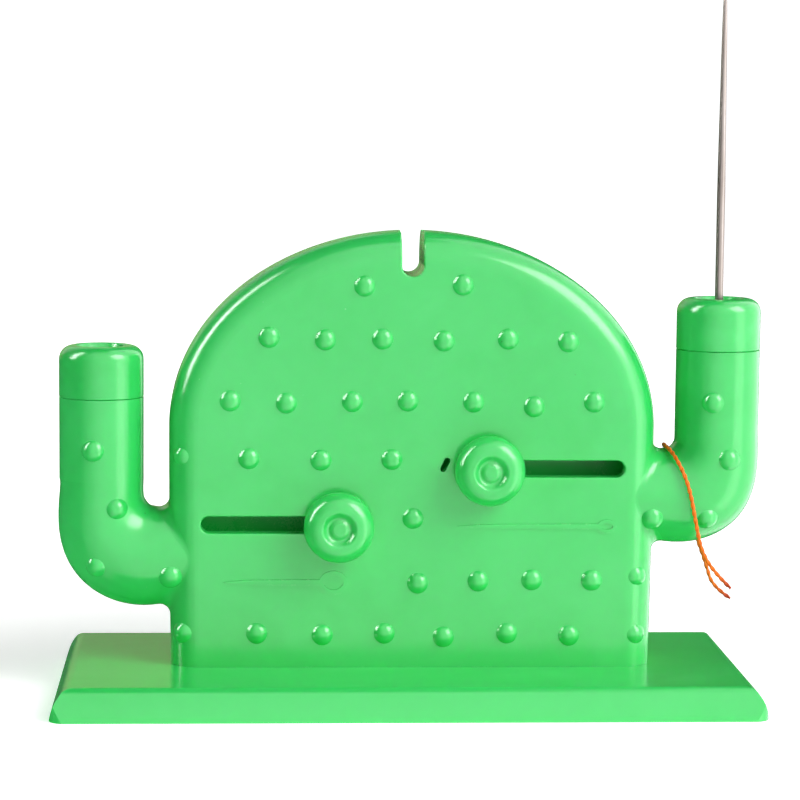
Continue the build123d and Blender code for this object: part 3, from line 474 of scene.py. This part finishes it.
thread.data.materials.append(thread_fibre())
dress(shell_green, "front_shell")
dress(back_green, "rear_shell")
dress(base_green, "base")
dress(knob_green, "left_knob", "right_knob")
dress(cap_green, "left_arm_cap", "right_arm_cap")
dress(inner_plastic("needle_seat_plastic", (0.80, 0.81, 0.78), 0.3), "left_needle_seat", "right_needle_seat")
dress(inner_plastic("carriage_plastic", (0.045, 0.47, 0.095), 0.9), "left_slide_carriage", "right_slide_carriage")
dress(blade_steel, "left_pusher_blade", "right_pusher_blade")
dress(screw_steel, "left_blade_screw", "right_blade_screw", "shell_screws", "base_screws")
dress(spring_steel, "left_return_spring", "right_return_spring")
dress(needle_steel, "sewing_needle")
dress(thread.data.materials[0], "thread")


# ---------------------------------------------------------------- floor, backdrop and light
def turned(name, profile, around=96):
    """A surface turned round the vertical axis from (radius, height) points."""
    v, f = [], []
    for r, z in profile:
        for i in range(around):
            a = math.tau * i / around
            v.append((r * math.cos(a), r * math.sin(a), z))
    for k in range(len(profile) - 1):
        for i in range(around):
            j = (i + 1) % around
            f.append((k * around + i, k * around + j, (k + 1) * around + j, (k + 1) * around + i))
    mesh = bpy.data.meshes.new(name)
    mesh.from_pydata(v, [], f)
    for p in mesh.polygons:
        p.use_smooth = True
    obj = bpy.data.objects.new(name, mesh)
    scene.collection.objects.link(obj)
    return obj


def studio_paper(name, glow_near, glow_far):
    """Matt white paper that is lit a little from within, more so away from the object."""
    m, n, links, bsdf = new_material(name)
    coords = n.new("ShaderNodeTexCoord")
    tone = noise(n, links, coords.outputs["Object"], 30.0, detail=2.0)
    links.new(ramp(n, links, tone, [(0.3, (0.905, 0.905, 0.905)), (0.7, (0.925, 0.925, 0.925))]),
              bsdf.inputs["Base Color"])
    bsdf.inputs["Roughness"].default_value = 0.9
    bsdf.inputs["Specular IOR Level"].default_value = 0.0
    bsdf.inputs["Emission Color"].default_value = (1.0, 1.0, 1.0, 1.0)
    if glow_near == glow_far:
        bsdf.inputs["Emission Strength"].default_value = glow_far
    else:
        reach = n.new("ShaderNodeVectorMath")
        reach.operation = "LENGTH"
        links.new(coords.outputs["Object"], reach.inputs[0])
        glow = n.new("ShaderNodeMapRange")
        glow.inputs["From Min"].default_value = 0.06
        glow.inputs["From Max"].default_value = 0.22
        glow.inputs["To Min"].default_value = glow_near
        glow.inputs["To Max"].default_value = glow_far
        links.new(reach.outputs["Value"], glow.inputs["Value"])
        links.new(glow.outputs["Result"], bsdf.inputs["Emission Strength"])
    return m


# a round white floor, and a white wall round it that curves up out of the floor
floor = turned("studio_floor", [(0.001, 0.0), (0.05, 0.0), (0.15, 0.0), (0.22, 0.0)])
floor.data.materials.append(studio_paper("floor_paper", 0.50, 1.0))
outer_floor = turned("outer_floor", [(0.22, 0.0), (0.40, 0.0), (0.80, 0.0), (1.20, 0.0)])
outer_floor.data.materials.append(studio_paper("outer_floor_paper", 1.0, 1.0))
bend = [(1.20 + 0.5 * math.sin(math.radians(90 * i / 20)), 0.5 - 0.5 * math.cos(math.radians(90 * i / 20)))
        for i in range(21)]
wall = turned("studio_wall", bend + [(1.70, 1.2), (1.70, 2.4)])
wall.data.materials.append(studio_paper("wall_paper", 1.0, 1.0))
# the paper lights nothing but the underside of things, and isn't mirrored in the glossy plastic
floor.visible_glossy = False
for paper in (outer_floor, wall):
    paper.visible_glossy = False
    paper.visible_diffuse = False
    paper.visible_shadow = False
    paper.visible_transmission = False

def glossy_card(name, corners, colour_low, colour_high, from_x, to_x, strength):
    """A card seen only in reflections. Its tone changes along its own X."""
    mesh = bpy.data.meshes.new(name)
    mesh.from_pydata(corners, [], [(k, k + 1, k + 3, k + 2) for k in range(0, len(corners) - 2, 2)])
    obj = bpy.data.objects.new(name, mesh)
    scene.collection.objects.link(obj)
    m, n, links, bsdf = new_material(name + "_paint")
    parts = n.new("ShaderNodeSeparateXYZ")
    links.new(n.new("ShaderNodeTexCoord").outputs["Object"], parts.inputs["Vector"])
    along_x = n.new("ShaderNodeMapRange")
    along_x.inputs["From Min"].default_value = from_x
    along_x.inputs["From Max"].default_value = to_x
    links.new(parts.outputs["X"], along_x.inputs["Value"])
    links.new(mix(n, links, along_x.outputs["Result"], colour_low, colour_high), bsdf.inputs["Emission Color"])
    bsdf.inputs["Emission Strength"].default_value = strength
    bsdf.inputs["Base Color"].default_value = (0.02, 0.02, 0.02, 1.0)
    bsdf.inputs["Roughness"].default_value = 1.0
    obj.data.materials.append(m)
    for way in ("camera", "diffuse", "shadow", "transmission", "volume_scatter"):
        setattr(obj, "visible_" + way, False)
    return obj


# a dull olive card far behind, darker to the right, seen along the top of the base
glossy_card("back_card", [(-1.1, 1.0, 0.0), (-1.1, 1.0, 0.62), (1.1, 1.0, 0.0), (1.1, 1.0, 0.62)],
            (0.43, 0.54, 0.25), (0.03, 0.03, 0.01), -0.04, 0.22, 1.0)
# white cards in front, above and to the right, which give the even sheen and the light in the needle
for tier, (low_angle, high_angle) in enumerate(((-84, -32), (-32, 4), (4, 40), (40, 80))):
    patch = []
    for k in range(21):
        a = math.radians(-52 + 10 * k)
        for up in (low_angle, high_angle):
            e = math.radians(up)
            patch.append((math.sin(a) * math.cos(e), -math.cos(a) * math.cos(e), math.sin(e)))
    glossy_card("front_card_%d" % tier, patch, (0.10, 0.10, 0.10), (1.0, 1.0, 1.05), -0.80, -0.10, 2.6)


def strip_card(name, far, az_low, az_high, elevations, strength):
    """A tall narrow card seen only in reflections."""
    corners = []
    for up in elevations:
        for side in (az_low, az_high):
            a, e = math.radians(side), math.radians(up)
            corners.append((far * math.sin(a) * math.cos(e), -far * math.cos(a) * math.cos(e), far * math.sin(e)))
    return glossy_card(name, corners, (1.0, 1.0, 1.0), (1.0, 1.0, 1.02), -1.0, 1.0, strength)


# a narrow one on the left for the crisp line along the left shoulder, and a tall broad one on the right
# for the upright bands down the arms and the right edge of the body
strip_card("left_strip", 0.85, -91, -77, (12, 24, 36, 48, 60), 20.0)
strip_card("right_strip", 0.90, 42, 68, (-38, -20, 0, 20, 40, 56), 5.0)

middle = Vector((0.0, 0.0, 0.030))


def softbox(name, azimuth, elevation, distance, width, height, watts, colour=(1.0, 1.0, 1.0), roll_by=0.0,
            aim=middle):
    """An area light round the object. Azimuth 0 is in front and 90 to the right; elevation above the horizon."""
    a, e = math.radians(azimuth), math.radians(elevation)
    away = Vector((math.sin(a) * math.cos(e), -math.cos(a) * math.cos(e), math.sin(e)))
    data = bpy.data.lights.new(name, "AREA")
    data.shape = "RECTANGLE"
    data.size, data.size_y = width, height
    data.energy = watts
    data.color = colour
    obj = bpy.data.objects.new(name, data)
    facing = away.to_track_quat("Z", "Y").to_matrix().to_4x4()
    obj.matrix_world = Matrix.Translation(aim + away * distance) @ facing @ Matrix.Rotation(roll_by, 4, "Z")
    scene.collection.objects.link(obj)
    return obj


softbox("key_softbox", 54, 36, 0.70, 0.40, 0.44, 4.5)
softbox("left_window", -84, 33, 0.80, 0.10, 0.60, 1.6)
softbox("front_fill", 14, 26, 1.10, 0.90, 0.70, 2.3)
softbox("back_fill", -152, 30, 1.10, 0.90, 0.70, 1.5)

world = bpy.data.worlds.new("studio_air")
world.use_nodes = True
world.node_tree.nodes["Background"].inputs["Color"].default_value = (0.92, 1.0, 0.90, 1.0)
world.node_tree.nodes["Background"].inputs["Strength"].default_value = 0.05
scene.world = world

scene.view_settings.view_transform = "Standard"
scene.view_settings.look = "None"
scene.view_settings.exposure = 0.0
scene.view_settings.gamma = 1.0
